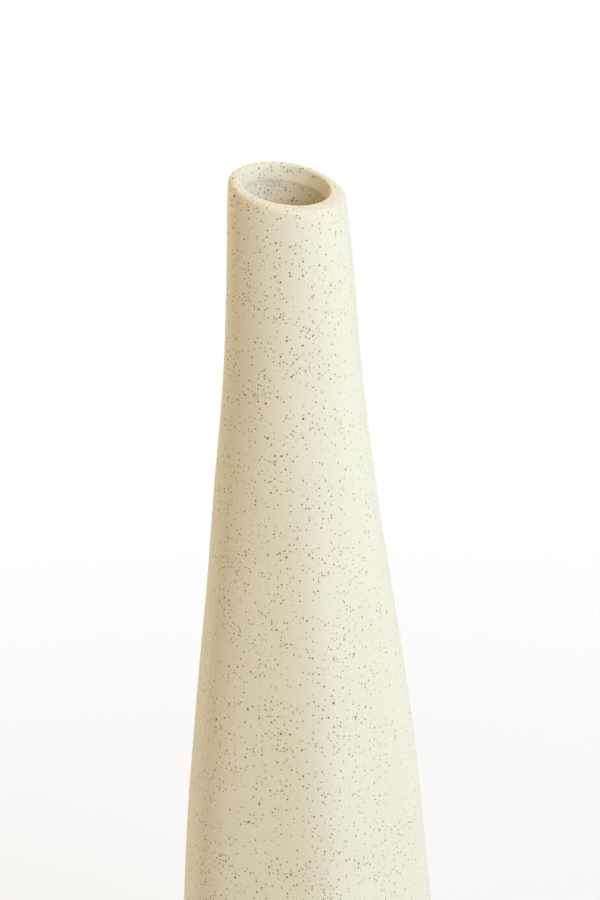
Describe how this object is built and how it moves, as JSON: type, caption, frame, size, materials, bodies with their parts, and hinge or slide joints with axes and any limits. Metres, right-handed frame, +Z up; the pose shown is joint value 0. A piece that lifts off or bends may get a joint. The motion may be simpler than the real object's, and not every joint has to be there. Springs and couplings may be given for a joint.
{
  "type": "bottle vase",
  "caption": "Tall stoneware bottle vase with a soft-faceted body, narrow leaning neck and slanted lip; speckled satin glaze outside, liner glaze inside, bare foot ring.",
  "frame": {"origin": "on the table, under the middle of the body, at the bottom centre of the bounding box", "axes": "+Z up along the body towards the mouth; -Y is the front; the neck leans towards -X, and the lip falls towards the front right"},
  "size_m": [0.1112, 0.1138, 0.398],
  "materials": {
    "bare_clay": "dry fired stoneware",
    "speckled_glaze": "satin, iron speckled",
    "liner_glaze": "soft gloss"
  },
  "bodies": {
    "root": {"clay_body": "bare_clay", "outer_glaze": "speckled_glaze", "liner_glaze": "liner_glaze"}
  },
  "joints": []
}
